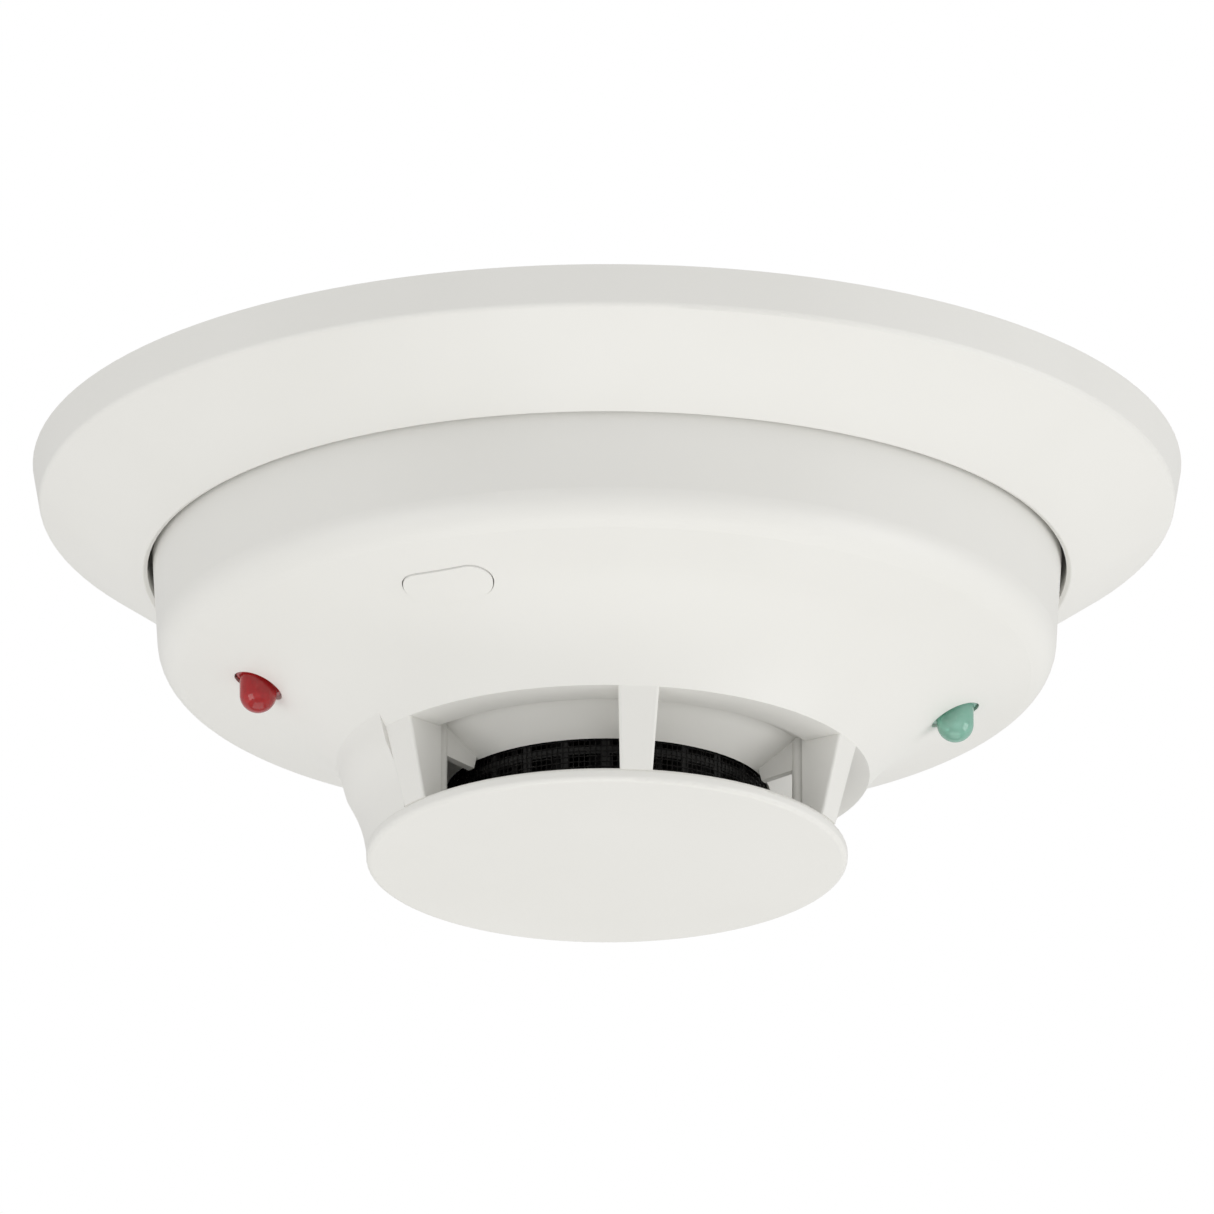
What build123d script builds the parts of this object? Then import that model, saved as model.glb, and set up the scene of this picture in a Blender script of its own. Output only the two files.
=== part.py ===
"""Ceiling smoke detector: a twist-off photoelectric head on a flanged mounting base.

The model hangs below the ceiling: z = 0 is the ceiling face, +Z points up into it, and the
detector's axis is Z. The front is -Y, the alarm LED is at -X and the power LED at +X.
"""

import os
from math import asin, cos, degrees, radians, sin, sqrt, tan

from build123d import *

os.makedirs("parts", exist_ok=True)

# ---------------------------------------------------------------- driving dimensions, mm
flange_radius = 77.5  # outer edge of the base, on the ceiling
flange_rim_radius = 76.6  # lower edge of the base's rim
flange_rim_depth = 5.4
base_depth = 15.4  # ceiling to the base's lower edge
well_radius = 62.0  # round well that the head sits in
shell = 2.0  # wall of the base and the cover
plate_thickness = 2.5
wire_hole_radius = 22.0

cover_top_depth = 13.2
cover_top_radius = 61.3
cover_corner = (60.37, -28.79)  # sharp corner of side and dome, before rounding
cover_corner_radius = 5.1
dome_slope = 19.0  # degrees
neck_start = (49.7, -32.5)  # where the dome's cone turns into the hollow curve of the neck
neck_radius = 26.5
neck_turn = 41.0  # degrees
lip_inner_radius = 29.8
lip_step = 1.0
collar_top_radius = 27.8
collar_mouth_radius = 21.7
collar_mouth_z = -47.05

disc_radius = 32.4
disc_top = -54.9
disc_thickness = 1.9

rib_count = 6
rib_top_radius = 35.3
rib_foot_radius = 32.6
closed_bay = 180.0  # direction of the one bay that is closed by a wall

led_offset = 47.3
led_tip = -37.4
led_radius = 2.5
led_collar_radius = 3.0
led_collar_recess = 0.3  # below the cover's surface
led_hole_radius = 3.2

key_radius = 48.5  # centre of the test key from the axis
key_angle = 237.0
key_length = 12.8
key_width = 5.5
key_gap = 0.15  # all round, between the key and the cover
key_flange_lap = 1.2  # key's hidden flange beyond its opening, at each end

housing_top = -10.0
housing_radius = 57.0
housing_wall = 1.8
board_top = -20.0
board_thickness = 1.6
board_radius = 54.5

terminal_radius = 40.0
blade_thickness = 1.2
jaw_gap = 0.3  # between a blade and each of its jaws
jaw_thickness = 0.9
jaw_bottom = -9.2
ledge_radius = 58.0  # inner edge of the bayonet ledges
ledge_top = -8.3
ledge_bottom = -10.2
lug_radius = 60.6  # outer edge of the bayonet lugs
lug_top = -6.2
lug_bottom = -8.0
terminal_angles = (45, 135, 225, 315)
hook_angles = (90, 210, 330)
screw_offset = 16.0  # degrees from a contact's jaws to its screw
board_screw_angles = (90, 205, 335)
board_screw_radius = 47.0
screw_clearance = 0.2
terminal_screw_radius = 1.7
board_screw_shank = 1.3

chamber_radius = 19.6
chamber_floor = -38.0
screen_radius = 21.2
screen_foot = -54.3

board_bottom = board_top - board_thickness


# ---------------------------------------------------------------- shared helpers
def direction(angle):
    """Unit vector in the XY plane at an angle in degrees."""
    return Vector(cos(radians(angle)), sin(radians(angle)), 0)


def radial_plane(angle):
    """Upright plane through the axis: local x points outward at the angle, local y points up."""
    out = direction(angle)
    return Plane(origin=(0, 0, 0), x_dir=out, z_dir=(out.Y, -out.X, 0))


def facing_plane(angle, radius):
    """Upright plane across the radius at the angle: local y points up, its normal outward."""
    out = direction(angle)
    return Plane(origin=out * radius, x_dir=(-out.Y, out.X, 0), z_dir=out)


def level_plane(angle, radius, z):
    """Level plane centred at a radius and an angle: local x points outward, local y around."""
    out = direction(angle)
    return Plane(origin=out * radius + Vector(0, 0, z), x_dir=out, z_dir=(0, 0, 1))


def ring_segment(r_in, r_out, z_low, z_high, middle, span, mode=Mode.ADD):
    """Block between two radii and two heights, over an arc centred on the middle angle."""
    with BuildSketch(radial_plane(middle - span / 2)) as section:
        with Locations(((r_in + r_out) / 2, (z_low + z_high) / 2)):
            Rectangle(r_out - r_in, z_high - z_low)
    revolve(section.sketch, axis=Axis.Z, revolution_arc=span, mode=mode)


def disc_between(radius, z_low, z_high, plane=Plane.XY, mode=Mode.ADD):
    """Upright cylinder between two heights above the given level plane's origin."""
    with BuildSketch(plane.offset(z_low)) as section:
        Circle(radius)
    extrude(section.sketch, amount=z_high - z_low, mode=mode)


def at(angle, radius):
    """Level plane at z = 0 over the point at the angle and radius."""
    return level_plane(angle, radius, 0)


def save(part, name):
    """Label a finished part and write its STEP file."""
    part.label = name
    export_step(part, f"parts/{name}.step")


# ---------------------------------------------------------------- cover outline
# The neck's hollow curve is an arc about a centre outside the cover. The same centre serves
# the inner face, with the wall added to the radius.
heading = radians(180 + dome_slope)
neck_centre = (
    neck_start[0] - neck_radius * sin(heading),
    neck_start[1] + neck_radius * cos(heading),
)


def neck_point(radius, angle):
    """Point on an arc about the neck's centre."""
    return (
        neck_centre[0] + radius * cos(radians(angle)),
        neck_centre[1] + radius * sin(radians(angle)),
    )


arc_start = 90 + dome_slope
arc_end = arc_start + neck_turn
lip_outer = neck_point(neck_radius, arc_end)
lip_z = lip_outer[1]
inner_radius = neck_radius + shell
floor_z = lip_z + shell
inner_arc_end = 180 - degrees(asin((floor_z - neck_centre[1]) / inner_radius))
inner_neck_start = neck_point(inner_radius, arc_start)
dome_tilt = radians(dome_slope)
inner_corner = (
    cover_corner[0] - shell,
    cover_corner[1] + shell / cos(dome_tilt) - shell * tan(dome_tilt),
)
collar_wall = 1.6


def dome_band(outer_offset, inner_offset):
    """Face of the dome and neck between two offsets inward from the cover's outer surface."""
    r_out, r_in = neck_radius + outer_offset, neck_radius + inner_offset
    outer_start, inner_start = neck_point(r_out, arc_start), neck_point(r_in, arc_start)
    run = 12.0
    rise = run * tan(radians(dome_slope))
    with BuildLine() as outline:
        arc_out = ThreePointArc(
            outer_start, neck_point(r_out, arc_start + 12), neck_point(r_out, arc_start + 24)
        )
        arc_in = ThreePointArc(
            inner_start, neck_point(r_in, arc_start + 12), neck_point(r_in, arc_start + 24)
        )
        Line(arc_out @ 1, arc_in @ 1)
        far_out = (outer_start[0] + run, outer_start[1] + rise)
        far_in = (inner_start[0] + run, inner_start[1] + rise)
        Polyline(outer_start, far_out, far_in, inner_start)
    make_face(outline.line)


# ================================================================ BASE
rim_slope = (base_depth - flange_rim_depth) / (flange_rim_radius - well_radius)
hollow_in = well_radius + shell
hollow_out = flange_rim_radius - 1.2
cone_wall = shell * sqrt(1 + rim_slope**2)


def cone_inside(radius):
    """Height of the base cone's hidden face at a radius."""
    return -flange_rim_depth + cone_wall - (flange_rim_radius - radius) * rim_slope


box_slot_wide = 86.1  # between slot centres along X: 83.3 mm and 88.9 mm boxes
box_slot_wide_length = 7.6
box_slot_narrow = 65.0  # between slot centres along Y: 60 mm to 70 mm boxes
box_slot_narrow_length = 9.6
box_slot_width = 4.6
boss_bottom = -plate_thickness - 2.0
contact_bottom = boss_bottom - 0.8
screw_hole = terminal_screw_radius + screw_clearance
stiffener_count = 24

with BuildPart() as mounting_base:
    with BuildSketch(Plane.XZ) as base_section:
        with BuildLine():
            Polyline(
                (wire_hole_radius, 0),
                (hollow_in, 0),
                (hollow_in, cone_inside(hollow_in)),
                (hollow_out, cone_inside(hollow_out)),
                (hollow_out, 0),
                (flange_radius, 0),
                (flange_rim_radius, -flange_rim_depth),
                (well_radius + 0.6, -base_depth),
                (well_radius, -base_depth + 0.3),
                (well_radius, -plate_thickness),
                (wire_hole_radius, -plate_thickness),
                close=True,
            )
        make_face()
        rim_edge = base_section.vertices().sort_by_distance((flange_rim_radius, -flange_rim_depth))
        fillet(rim_edge[0], radius=1.0)
        lip_edge = base_section.vertices().sort_by_distance((well_radius + 0.6, -base_depth))
        fillet(lip_edge[0], radius=0.3)
    revolve(axis=Axis.Z)
    for number in range(stiffener_count):
        with BuildSketch(radial_plane((number + 0.5) * 360 / stiffener_count)):
            with BuildLine():
                Polyline(
                    (hollow_in - 0.3, -0.8),
                    (hollow_out + 0.3, -0.8),
                    (hollow_out + 0.3, cone_inside(hollow_out) - 0.3),
                    (hollow_in - 0.3, cone_inside(hollow_in) - 0.3),
                    close=True,
                )
            make_face()
        extrude(amount=0.6, both=True)
    # three bayonet ledges under the head's lugs, each with a stop at its end
    for angle in hook_angles:
        ring_segment(ledge_radius, well_radius + 0.5, ledge_bottom, ledge_top, angle + 0.5, 17)
        ring_segment(ledge_radius, well_radius + 0.5, ledge_bottom, -2.0, angle + 10, 3)
    # four terminal bosses, a wire guard ring and the hub round the wire hole
    for angle in terminal_angles:
        ring_segment(33.6, 46.2, boss_bottom, -plate_thickness + 0.2, angle + 7, 34)
    ring_segment(wire_hole_radius, wire_hole_radius + 1.6, -5.5, -2.0, 0, 360)
    for angle in terminal_angles:
        screw_at = at(angle + screw_offset, terminal_radius)
        disc_between(screw_hole, boss_bottom - 1, 1.0, screw_at, mode=Mode.SUBTRACT)
    with BuildSketch(Plane.XY.offset(1)):
        with Locations((box_slot_wide / 2, 0), (-box_slot_wide / 2, 0)):
            SlotOverall(box_slot_wide_length, box_slot_width)
        with Locations((0, box_slot_narrow / 2), (0, -box_slot_narrow / 2)):
            SlotOverall(box_slot_narrow_length, box_slot_width, rotation=90)
    extrude(amount=-plate_thickness - 2, mode=Mode.SUBTRACT)
save(mounting_base.part, "mounting_base")

# Tinned brass contacts: a strip on the boss with a screw hole and two jaws that grip a blade.
blade_in = terminal_radius - blade_thickness / 2
blade_out = terminal_radius + blade_thickness / 2
jaw_top = contact_bottom + 0.1
for number, angle in enumerate(terminal_angles, start=1):
    with BuildPart() as contact:
        ring_segment(35.2, 44.8, contact_bottom, boss_bottom, angle + 8.5, 28)
        for jaw_in in (blade_in - jaw_gap - jaw_thickness, blade_out + jaw_gap):
            ring_segment(jaw_in, jaw_in + jaw_thickness, jaw_bottom, jaw_top, angle, 11)
        screw_at = at(angle + screw_offset, terminal_radius)
        disc_between(screw_hole, contact_bottom - 1, boss_bottom + 1, screw_at, mode=Mode.SUBTRACT)
    save(contact.part, f"terminal_contact_{number}")

washer_thickness = 0.9
washer_bottom = contact_bottom - washer_thickness
with BuildPart() as clamp_washers:
    for angle in terminal_angles:
        with BuildSketch(level_plane(angle + screw_offset, terminal_radius, washer_bottom)):
            RectangleRounded(7.4, 7.4, 0.8)
            Circle(screw_hole, mode=Mode.SUBTRACT)
        extrude(amount=washer_thickness)
save(clamp_washers.part, "clamp_washers")

terminal_head_bottom = washer_bottom - 2.3
with BuildPart() as terminal_screws:
    for angle in terminal_angles:
        screw_at = at(angle + screw_offset, terminal_radius)
        disc_between(3.3, terminal_head_bottom, washer_bottom, screw_at)
        disc_between(terminal_screw_radius, washer_bottom - 0.1, -0.9, screw_at)
        with BuildSketch(screw_at.offset(terminal_head_bottom)):
            Rectangle(4.6, 0.9)
            Rectangle(0.9, 4.6)
        extrude(amount=1.3, mode=Mode.SUBTRACT)
    heads = terminal_screws.edges().filter_by(GeomType.CIRCLE).group_by(Axis.Z)[0]
    chamfer(heads, length=0.5)
save(terminal_screws.part, "terminal_screws")

# ================================================================ HEAD
boss_radius = 3.2
housing_bottom = -24.0
with BuildPart() as back_housing:
    with BuildSketch(Plane.XZ) as housing_section:
        inner_wall = housing_radius - housing_wall
        with BuildLine():
            Polyline(
                (0, housing_top),
                (housing_radius, housing_top),
                (housing_radius, housing_bottom),
                (inner_wall, housing_bottom),
                (inner_wall, housing_top - housing_wall),
                (0, housing_top - housing_wall),
                close=True,
            )
        make_face()
        shoulder = housing_section.vertices().sort_by_distance((housing_radius, housing_top))
        fillet(shoulder[0], radius=1.0)
    revolve(axis=Axis.Z)
    for angle in hook_angles:
        ring_segment(54.4, 56.0, housing_top - 0.9, lug_top, angle, 18)
        ring_segment(55.6, lug_radius, lug_bottom, lug_top, angle, 14)
    for angle in board_screw_angles:
        boss_at = at(angle, board_screw_radius)
        disc_between(boss_radius, board_top, housing_top - 1, boss_at)
        disc_between(1.35, board_top - 1, housing_top - 2.5, boss_at, mode=Mode.SUBTRACT)
    for angle in terminal_angles:
        ring_segment(blade_in - 0.1, blade_out + 0.1, -13, -9, angle, 9.2, mode=Mode.SUBTRACT)
    # moulded rings and spokes stiffen the roof inside
    ring_segment(20.0, 21.4, -13.2, housing_top - 1, 0, 360)
    for number in range(8):
        spoke = radial_plane(22.5 + number * 45)
        with BuildSketch(spoke):
            with Locations((38.4, -12.3)):
                Rectangle(34.8, 1.8)
        extrude(amount=0.6, both=True)
save(back_housing.part, "back_housing")

with BuildPart() as contact_blades:
    for angle in terminal_angles:
        ring_segment(blade_in, blade_out, -19.0, -5.8, angle, 8.6)
        ring_segment(39.7, 40.3, board_bottom - 1.0, -18.9, angle, 3.0)
save(contact_blades.part, "contact_blades")

chip_leg_pitch = 1.27
relay_at = level_plane(90, 24.0, board_top)
lead_spread = 1.27

with BuildPart() as circuit_board:
    disc_between(board_radius, board_bottom, board_top)
    for angle in board_screw_angles:
        hole_at = at(angle, board_screw_radius)
        disc_between(board_screw_shank + 0.4, board_bottom - 1, board_top + 1, hole_at, Mode.SUBTRACT)
    for angle in terminal_angles:
        ring_segment(39.6, 40.4, board_bottom - 1, board_top + 1, angle, 3.4, mode=Mode.SUBTRACT)
    for angle in (0, 180):
        for side in (-lead_spread, lead_spread):
            lead_at = at(angle, led_offset + side)
            disc_between(0.45, board_bottom - 1, board_top + 1, lead_at, Mode.SUBTRACT)
    for angle in (60, 240, 300):
        notch_at = at(angle, board_radius)
        disc_between(1.5, board_bottom - 1, board_top + 1, notch_at, Mode.SUBTRACT)
save(circuit_board.part, "circuit_board")

board_head_bottom = board_bottom - 1.9
with BuildPart() as board_screws:
    for angle in board_screw_angles:
        screw_at = at(angle, board_screw_radius)
        disc_between(2.6, board_head_bottom, board_bottom, screw_at)
        disc_between(board_screw_shank, board_bottom - 0.1, -15.0, screw_at)
        with BuildSketch(screw_at.offset(board_head_bottom)):
            Rectangle(3.4, 0.7)
            Rectangle(0.7, 3.4)
        extrude(amount=1.0, mode=Mode.SUBTRACT)
save(board_screws.part, "board_screws")

# Each LED: round-nosed lens, a collar that fills the cover's hole, and the flange it is cast on.
led_flange_top = led_tip + 8.7
led_flange_radius = 2.9
for name, angle in (("red_led", 180), ("green_led", 0)):
    with BuildPart() as led:
        nose_z = led_tip + led_radius
        disc_between(led_radius, nose_z, led_flange_top, at(angle, led_offset))
        disc_between(led_flange_radius, led_flange_top - 1.0, led_flange_top, at(angle, led_offset))
        with Locations(direction(angle) * led_offset + Vector(0, 0, nose_z)):
            Sphere(led_radius)
        with BuildPart(mode=Mode.PRIVATE) as collar:
            with BuildSketch(Plane.XZ):
                dome_band(led_collar_recess, shell + 1.2)
            revolve(axis=Axis.Z)
            disc_between(led_collar_radius, -40, -28, at(angle, led_offset), Mode.INTERSECT)
        add(collar.part)
    save(led.part, name)

with BuildPart() as led_leads:
    for angle in (0, 180):
        for side in (-lead_spread, lead_spread):
            with BuildSketch(level_plane(angle, led_offset + side, led_flange_top)):
                Rectangle(0.5, 0.5)
            extrude(amount=board_top + 1.2 - led_flange_top)
save(led_leads.part, "led_leads")

with BuildPart() as led_spacers:
    for angle in (0, 180):
        with BuildSketch(level_plane(angle, led_offset, led_flange_top)):
            Circle(3.0)
            Rectangle(3.6, 1.4, mode=Mode.SUBTRACT)
        extrude(amount=board_bottom - led_flange_top)
save(led_spacers.part, "led_spacers")

with BuildPart() as relay:
    with BuildSketch(relay_at):
        RectangleRounded(10.2, 15.0, 0.8)
    extrude(amount=6.6)
    fillet(relay.faces().sort_by(Axis.Z)[-1].edges(), radius=0.6)
save(relay.part, "relay")

with BuildPart() as capacitors:
    for angle in (45, 135):
        can_at = at(angle, 27)
        disc_between(3.15, board_top, board_top + 7.0, can_at)
        with BuildSketch(can_at.offset(board_top + 1.0)):
            Circle(3.5)
            Circle(2.9, mode=Mode.SUBTRACT)
        extrude(amount=0.5, mode=Mode.SUBTRACT)
save(capacitors.part, "capacitors")

chip_at = Plane(origin=(4.0, -38.0, board_bottom), x_dir=(1, 0, 0), z_dir=(0, 0, -1))
with BuildPart() as microcontroller:
    with BuildSketch(chip_at.offset(0.2)):
        Rectangle(10.0, 3.9)
    extrude(amount=1.6, taper=4)
save(microcontroller.part, "microcontroller")

with BuildPart() as chip_leads:
    with BuildSketch(chip_at):
        with GridLocations(chip_leg_pitch, 5.4, 8, 2):
            Rectangle(0.42, 1.3)
    extrude(amount=0.22)
save(chip_leads.part, "chip_leads")

resistor_arcs = ((28.5, 196, 12, 6), (33.0, 8, 14, 4), (30.0, 100, 13, 6))
with BuildPart() as chip_resistors:
    for ring_radius, first, step, count in resistor_arcs:
        for number in range(count):
            spot = level_plane(first + number * step, ring_radius, board_bottom)
            with BuildSketch(spot):
                Rectangle(2.0, 1.25)
            extrude(amount=-0.6)
save(chip_resistors.part, "chip_resistors")

# Long-travel tact switch under the test key: body on the board, plunger pointing down.
switch_height = 2.6
plunger_out = 1.4
plunger_radius = 1.6
with BuildPart() as test_switch:
    with BuildSketch(level_plane(key_angle, key_radius, board_bottom)):
        Rectangle(6.0, 6.0)
    extrude(amount=-switch_height)
    chamfer(test_switch.edges().filter_by(Axis.Z), length=0.5)
    switch_floor = board_bottom - switch_height
    bore_radius = plunger_radius + 0.15
    bore_at = at(key_angle, key_radius)
    disc_between(bore_radius, switch_floor - 1, board_bottom - 0.4, bore_at, Mode.SUBTRACT)
save(test_switch.part, "test_switch")

plunger_tip = switch_floor - plunger_out
with BuildPart() as switch_plunger:
    disc_between(plunger_radius, plunger_tip, switch_floor + 0.8, at(key_angle, key_radius))
    chamfer(switch_plunger.edges().group_by(Axis.Z)[0], length=0.3)
save(switch_plunger.part, "switch_plunger")

# Smoke chamber: black drum on the board, two optics blocks under its floor.
optics_radius = 10.4
optics_angles = (15, 165)
optics_z = -42.0
optics_foot = -46.0
emitter_bore = 2.6
with BuildPart() as chamber_base:
    with BuildSketch(Plane.XZ):
        with BuildLine():
            Polyline(
                (0, chamber_floor),
                (chamber_radius, chamber_floor),
                (chamber_radius, -23.4),
                (23.0, -23.4),
                (23.0, board_bottom),
                (chamber_radius - 1.6, board_bottom),
                (chamber_radius - 1.6, chamber_floor + 1.6),
                (0, chamber_floor + 1.6),
                close=True,
            )
        make_face()
    revolve(axis=Axis.Z)
    for angle in optics_angles:
        with BuildSketch(level_plane(angle, optics_radius, chamber_floor)):
            RectangleRounded(8.8, 7.6, 0.8)
        extrude(amount=optics_foot - chamber_floor)
        with BuildSketch(facing_plane(angle, optics_radius + 5)):
            with Locations((0, optics_z)):
                Circle(emitter_bore)
        extrude(amount=-8.4, mode=Mode.SUBTRACT)
        with BuildSketch(facing_plane(angle, optics_radius - 3)):
            with Locations((0, optics_z)):
                Circle(1.3)
        extrude(amount=-3, mode=Mode.SUBTRACT)
        for side in (-lead_spread, lead_spread):
            lead_spot = level_plane(angle, optics_radius + 4.0, optics_z)
            with BuildSketch(lead_spot):
                with Locations((0, side)):
                    Rectangle(1.0, 0.9)
            extrude(amount=chamber_floor + 2.6 - optics_z, mode=Mode.SUBTRACT)
    # light trap between emitter and detector
    with BuildSketch(level_plane(90, 5.0, chamber_floor)):
        Rectangle(6.0, 1.2)
    extrude(amount=-6.0)
save(chamber_base.part, "chamber_base")

for name, angle in (("ir_emitter", optics_angles[1]), ("photodiode", optics_angles[0])):
    with BuildPart() as optic:
        with BuildSketch(facing_plane(angle, optics_radius + 3.6)):
            with Locations((0, optics_z)):
                Circle(led_radius)
        extrude(amount=-6.2)
        fillet(optic.faces().sort_by(Axis(optic.part.center(), direction(angle)))[0].edges(), radius=1.6)
        for side in (-lead_spread, lead_spread):
            lead_spot = level_plane(angle, optics_radius + 4.0, optics_z - 0.3)
            with BuildSketch(lead_spot):
                with Locations((-0.2, side)):
                    Rectangle(0.5, 0.5)
            extrude(amount=board_bottom - optics_z + 0.3)
    save(optic.part, name)

# ================================================================ SCREEN
cap_radius = 20.2
cap_thickness = 1.2
vane_count = 18
vane_top = screen_foot + 15.0
with BuildPart() as chamber_cap:
    disc_between(cap_radius, screen_foot, screen_foot + cap_thickness)
save(chamber_cap.part, "chamber_cap")

with BuildPart() as light_vanes:
    for number in range(vane_count):
        spot = level_plane(number * 360 / vane_count, 17.9, screen_foot + cap_thickness)
        with BuildSketch(spot.rotated((0, 0, 38))):
            Rectangle(4.6, 0.8)
            with Locations((-1.9, 0.6)):
                Rectangle(0.8, 1.8)
        extrude(amount=vane_top - screen_foot - cap_thickness)
save(light_vanes.part, "light_vanes")

with BuildPart() as vane_ring:
    ring_segment(15.9, cap_radius, vane_top, vane_top + 1.0, 0, 360)
save(vane_ring.part, "vane_ring")

screen_top = -37.2
window_count = 24
with BuildPart() as insect_screen:
    with BuildSketch(Plane.XY.offset(screen_foot)):
        Circle(screen_radius)
        Circle(screen_radius - 0.6, mode=Mode.SUBTRACT)
    extrude(amount=screen_top - screen_foot)
    for number in range(window_count):
        for z_low in (screen_foot + 0.8, screen_foot + 6.4, screen_foot + 12.0):
            angle = number * 360 / window_count
            ring_segment(20.0, 22.0, z_low, z_low + 4.6, angle, 12, mode=Mode.SUBTRACT)
save(insect_screen.part, "insect_screen")

# ================================================================ COVER
rib_angles = [30 + number * 360 / rib_count for number in range(rib_count)]
rib_start, rib_end = lip_z + 0.9, disc_top - 0.3
rib_back_radius = 29.2
rib_slope = (rib_top_radius - rib_foot_radius) / (lip_z - disc_top)


def rib_outline(z, outer_width, inner_width):
    """Rib's section at a height: wide outside, narrower towards the axis."""
    outer = rib_foot_radius + (z - disc_top) * rib_slope
    outline = Polygon(
        (outer, -outer_width / 2),
        (outer, outer_width / 2),
        (rib_back_radius, inner_width / 2),
        (rib_back_radius, -inner_width / 2),
        align=None,
    )
    fillet(outline.vertices().group_by(Axis.X)[-1], radius=0.4)


pillar_distance = 28.1  # round pillar behind each rib, joined to it by a thin web
pillar_radius = 1.0
pillar_start, pillar_end = lip_z + 1.2, rib_end - 0.2
web_width = 1.0
slot_middle = 20.5  # degrees from the closed bay's middle to its slots
wall_half_span = 25.8  # degrees; the closing wall ends at the sides of its two ribs
post_offset = 9.6
bridge_top = -26.0
bridge_bottom = -27.0

# Closing wall's section as (radius, height): flush with the neck above, with the ribs below.
wall_outside = (
    (37.0, -41.2),
    (36.25, -43.0),
    (35.85, -44.6),
    (35.3, -46.4),
    (34.0, -48.8),
    (32.9, -52.0),
    (32.3, -55.4),
)
wall_inside = ((30.9, -55.4), (31.5, -52.0), (32.6, -48.8), (33.9, -46.4), (34.5, -44.6), (35.0, -43.0))

# Slots beside its ribs, as (across, height) on a slot's two edges; across grows towards the rib.
curled_slot = (
    ((1.6, -47.4), (-1.8, -48.5), (-2.9, -49.9), (-2.4, -51.2), (-1.2, -52.5), (-0.4, -53.5), (-1.3, -55.2)),
    ((1.6, -47.4), (-1.2, -48.8), (-2.3, -50.0), (-1.85, -51.1), (-0.6, -52.3), (0.25, -53.5), (-0.5, -55.2)),
)
rib_slot = (
    ((2.5, -46.9), (0.75, -49.3), (0.85, -50.8), (1.35, -52.4), (2.0, -55.2)),
    ((2.5, -46.9), (1.25, -49.2), (1.35, -50.7), (1.85, -52.3), (2.6, -55.2)),
)

with BuildPart() as closing_wall:
    with BuildSketch(radial_plane(closed_bay - wall_half_span)):
        with BuildLine():
            outside = Spline(*wall_outside)
            inside = Spline(*wall_inside)
            Line(outside @ 1, inside @ 0)
            Line(inside @ 1, outside @ 0)
        make_face()
    revolve(axis=Axis.Z, revolution_arc=2 * wall_half_span)
    for side in (-1, 1):
        for near_edge, far_edge in (curled_slot, rib_slot):
            with BuildSketch(facing_plane(closed_bay + side * slot_middle, 29.0)):
                with BuildLine():
                    near = Spline(*((side * across, height) for across, height in near_edge))
                    far = Spline(*((side * across, height) for across, height in far_edge))
                    Line(near @ 1, far @ 1)
                make_face()
            extrude(amount=9, mode=Mode.SUBTRACT)

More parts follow.
